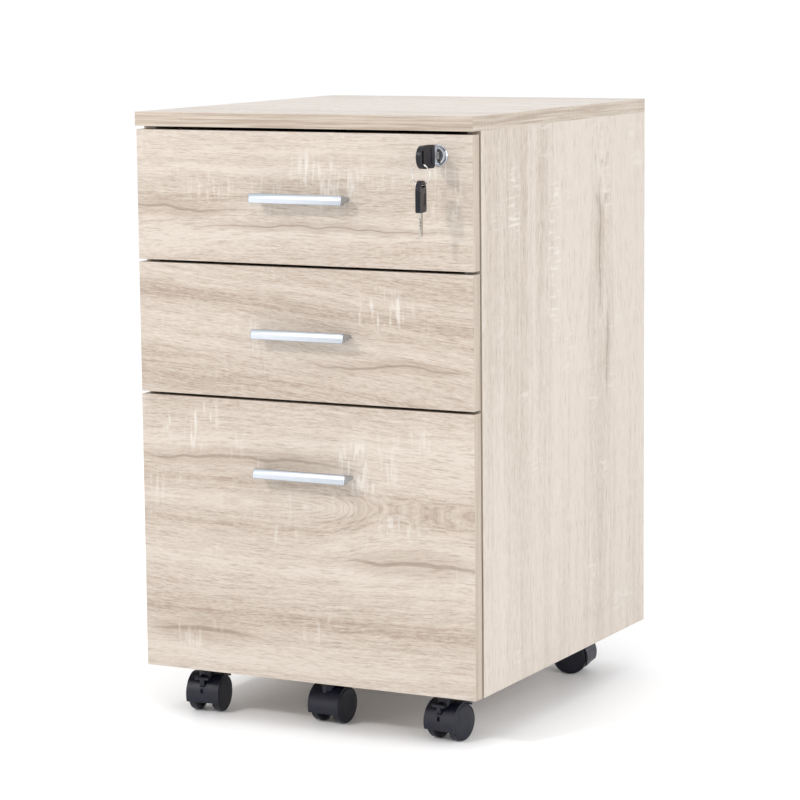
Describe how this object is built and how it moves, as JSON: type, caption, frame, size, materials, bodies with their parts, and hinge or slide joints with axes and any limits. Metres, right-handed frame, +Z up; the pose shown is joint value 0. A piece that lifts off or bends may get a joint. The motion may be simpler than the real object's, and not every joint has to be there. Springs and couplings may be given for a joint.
{
  "type": "rolling pedestal cabinet",
  "caption": "Rolling under-desk pedestal in light oak-effect board: box drawers over a file drawer, bar handles, keyed front lock and hooded twin-wheel casters.",
  "frame": {"origin": "on the floor under the centre of the overall bounding box", "axes": "+Z up, drawers open towards -Y, +X to the right as seen from the front"},
  "size_m": [0.4, 0.4896, 0.655],
  "materials": {
    "oak_melamine": "satin oak-effect melamine",
    "drawer_board": "pale melamine",
    "beech": "raw",
    "zinc": "zinc plated",
    "rail_steel": "zinc plated",
    "black_steel": "black",
    "white_plastic": "moulded",
    "bar_aluminium": "mill finish",
    "grey_plastic": "moulded",
    "lock_chrome": "polished",
    "key_plastic": "moulded",
    "key_steel": "nickel plated",
    "handle_aluminium": "satin silver",
    "caster_plastic": "satin moulded",
    "wheel_plastic": "satin moulded"
  },
  "bodies": {
    "cabinet": {"top_panel": "oak_melamine", "left_side_panel": "oak_melamine", "right_side_panel": "oak_melamine", "back_panel": "oak_melamine", "bottom_panel": "oak_melamine", "cam_nuts": "zinc", "cam_bolts": "zinc", "wooden_dowels": "beech", "cabinet_rails": "rail_steel", "cabinet_screws": "zinc", "caster_plates": "black_steel", "lock_bar_guides": "white_plastic"},
    "lock_bar": {"lock_bar": "bar_aluminium"},
    "top_drawer": {"top_drawer_front": "oak_melamine", "top_drawer_left_wall": "drawer_board", "top_drawer_right_wall": "drawer_board", "top_drawer_back_wall": "drawer_board", "top_drawer_base": "drawer_board", "top_drawer_handle": "handle_aluminium", "top_drawer_rails": "rail_steel", "top_drawer_fasteners": "zinc", "lock_housing": "lock_chrome"},
    "top_sliding_rails": {"top_sliding_rails": "rail_steel"},
    "middle_drawer": {"middle_drawer_front": "oak_melamine", "middle_drawer_left_wall": "drawer_board", "middle_drawer_right_wall": "drawer_board", "middle_drawer_back_wall": "drawer_board", "middle_drawer_base": "drawer_board", "middle_drawer_handle": "handle_aluminium", "middle_drawer_rails": "rail_steel", "middle_drawer_fasteners": "zinc"},
    "middle_sliding_rails": {"middle_sliding_rails": "rail_steel"},
    "bottom_drawer": {"bottom_drawer_front": "oak_melamine", "bottom_drawer_left_wall": "drawer_board", "bottom_drawer_right_wall": "drawer_board", "bottom_drawer_back_wall": "drawer_board", "bottom_drawer_base": "drawer_board", "bottom_drawer_handle": "handle_aluminium", "bottom_drawer_rails": "rail_steel", "bottom_drawer_fasteners": "zinc", "hanging_file_rails": "grey_plastic", "centre_caster_block": "oak_melamine", "centre_caster_plate": "black_steel"},
    "bottom_sliding_rails": {"bottom_sliding_rails": "rail_steel"},
    "lock_plug": {"lock_plug": "lock_chrome"},
    "key": {"key": "key_plastic"},
    "key_ring": {"key_ring": "key_steel"},
    "spare_key": {"spare_key": "key_plastic"},
    "front_left_swivel": {"front_left_hood": "caster_plastic"},
    "front_left_wheelset": {"front_left_wheels": "wheel_plastic"},
    "front_left_pedal": {"front_left_brake_pedal": "caster_plastic"},
    "front_right_swivel": {"front_right_hood": "caster_plastic"},
    "front_right_wheelset": {"front_right_wheels": "wheel_plastic"},
    "front_right_pedal": {"front_right_brake_pedal": "caster_plastic"},
    "rear_left_swivel": {"rear_left_hood": "caster_plastic"},
    "rear_left_wheelset": {"rear_left_wheels": "wheel_plastic"},
    "rear_right_swivel": {"rear_right_hood": "caster_plastic"},
    "rear_right_wheelset": {"rear_right_wheels": "wheel_plastic"},
    "centre_swivel": {"centre_hood": "caster_plastic"},
    "centre_wheelset": {"centre_wheels": "wheel_plastic"}
  },
  "joints": [
    {"name": "top_drawer_slide", "type": "slide", "parent": "cabinet", "child": "top_drawer", "axis": [0, -1, 0], "range_m": [0, 0.35]},
    {"name": "top_rail_slide", "type": "slide", "parent": "cabinet", "child": "top_sliding_rails", "axis": [0, -1, 0], "range_m": [0, 0.175]},
    {"name": "middle_drawer_slide", "type": "slide", "parent": "cabinet", "child": "middle_drawer", "axis": [0, -1, 0], "range_m": [0, 0.35]},
    {"name": "middle_rail_slide", "type": "slide", "parent": "cabinet", "child": "middle_sliding_rails", "axis": [0, -1, 0], "range_m": [0, 0.175]},
    {"name": "bottom_drawer_slide", "type": "slide", "parent": "cabinet", "child": "bottom_drawer", "axis": [0, -1, 0], "range_m": [0, 0.35]},
    {"name": "bottom_rail_slide", "type": "slide", "parent": "cabinet", "child": "bottom_sliding_rails", "axis": [0, -1, 0], "range_m": [0, 0.175]},
    {"name": "lock_turn", "type": "hinge", "parent": "top_drawer", "child": "lock_plug", "pos_m": [0.16, -0.19423, 0.6155], "axis": [0, 1, 0], "range_deg": [0, 90]},
    {"name": "lock_bar_lift", "type": "slide", "parent": "cabinet", "child": "lock_bar", "axis": [0, 0, 1], "range_m": [0, 0.0086]},
    {"name": "key_pull", "type": "slide", "parent": "lock_plug", "child": "key", "axis": [0, -1, 0], "range_m": [0, 0.03]},
    {"name": "ring_swing", "type": "hinge", "parent": "key", "child": "key_ring", "pos_m": [0.16, -0.23273, 0.6092], "axis": [0.9903, -0.1392, 0], "range_deg": [-45, 20]},
    {"name": "spare_key_swing", "type": "hinge", "parent": "key_ring", "child": "spare_key", "pos_m": [0.16, -0.23273, 0.5874], "axis": [0.9799, 0.1994, 0], "range_deg": [-6, 6]},
    {"name": "front_left_swivel_turn", "type": "hinge", "parent": "cabinet", "child": "front_left_swivel", "pos_m": [-0.146, -0.15923, 0.045], "axis": [0, 0, 1], "continuous": true},
    {"name": "front_left_wheel_roll", "type": "hinge", "parent": "front_left_swivel", "child": "front_left_wheelset", "pos_m": [-0.14702, -0.15029, 0.02], "axis": [0.9936, 0.1132, 0], "continuous": true},
    {"name": "front_left_pedal_press", "type": "hinge", "parent": "front_left_swivel", "child": "front_left_pedal", "pos_m": [-0.14532, -0.1652, 0.031], "axis": [0.9936, 0.1132, 0], "range_deg": [0, 12]},
    {"name": "front_right_swivel_turn", "type": "hinge", "parent": "cabinet", "child": "front_right_swivel", "pos_m": [0.146, -0.15923, 0.045], "axis": [0, 0, 1], "continuous": true},
    {"name": "front_right_wheel_roll", "type": "hinge", "parent": "front_right_swivel", "child": "front_right_wheelset", "pos_m": [0.14733, -0.15033, 0.02], "axis": [0.989, -0.1478, 0], "continuous": true},
    {"name": "front_right_pedal_press", "type": "hinge", "parent": "front_right_swivel", "child": "front_right_pedal", "pos_m": [0.14511, -0.16517, 0.031], "axis": [0.989, -0.1478, 0], "range_deg": [0, 12]},
    {"name": "rear_left_swivel_turn", "type": "hinge", "parent": "cabinet", "child": "rear_left_swivel", "pos_m": [-0.146, 0.18777, 0.045], "axis": [0, 0, 1], "continuous": true},
    {"name": "rear_left_wheel_roll", "type": "hinge", "parent": "rear_left_swivel", "child": "rear_left_wheelset", "pos_m": [-0.14937, 0.17942, 0.02], "axis": [-0.9272, 0.3746, 0], "continuous": true},
    {"name": "rear_right_swivel_turn", "type": "hinge", "parent": "cabinet", "child": "rear_right_swivel", "pos_m": [0.146, 0.18777, 0.045], "axis": [0, 0, 1], "continuous": true},
    {"name": "rear_right_wheel_roll", "type": "hinge", "parent": "rear_right_swivel", "child": "rear_right_wheelset", "pos_m": [0.13709, 0.18651, 0.02], "axis": [-0.1392, 0.9903, 0], "continuous": true},
    {"name": "centre_swivel_turn", "type": "hinge", "parent": "bottom_drawer", "child": "centre_swivel", "pos_m": [0, -0.14723, 0.045], "axis": [0, 0, 1], "continuous": true},
    {"name": "centre_wheel_roll", "type": "hinge", "parent": "centre_swivel", "child": "centre_wheelset", "pos_m": [0.00063, -0.13826, 0.02], "axis": [0.9976, -0.0698, 0], "continuous": true}
  ],
  "couplings": [
    {"joint": "top_rail_slide", "follows": "top_drawer_slide", "ratio": 0.5},
    {"joint": "middle_rail_slide", "follows": "middle_drawer_slide", "ratio": 0.5},
    {"joint": "bottom_rail_slide", "follows": "bottom_drawer_slide", "ratio": 0.5},
    {"joint": "lock_bar_lift", "follows": "lock_turn", "m_per_rad": 0.0054019}
  ]
}
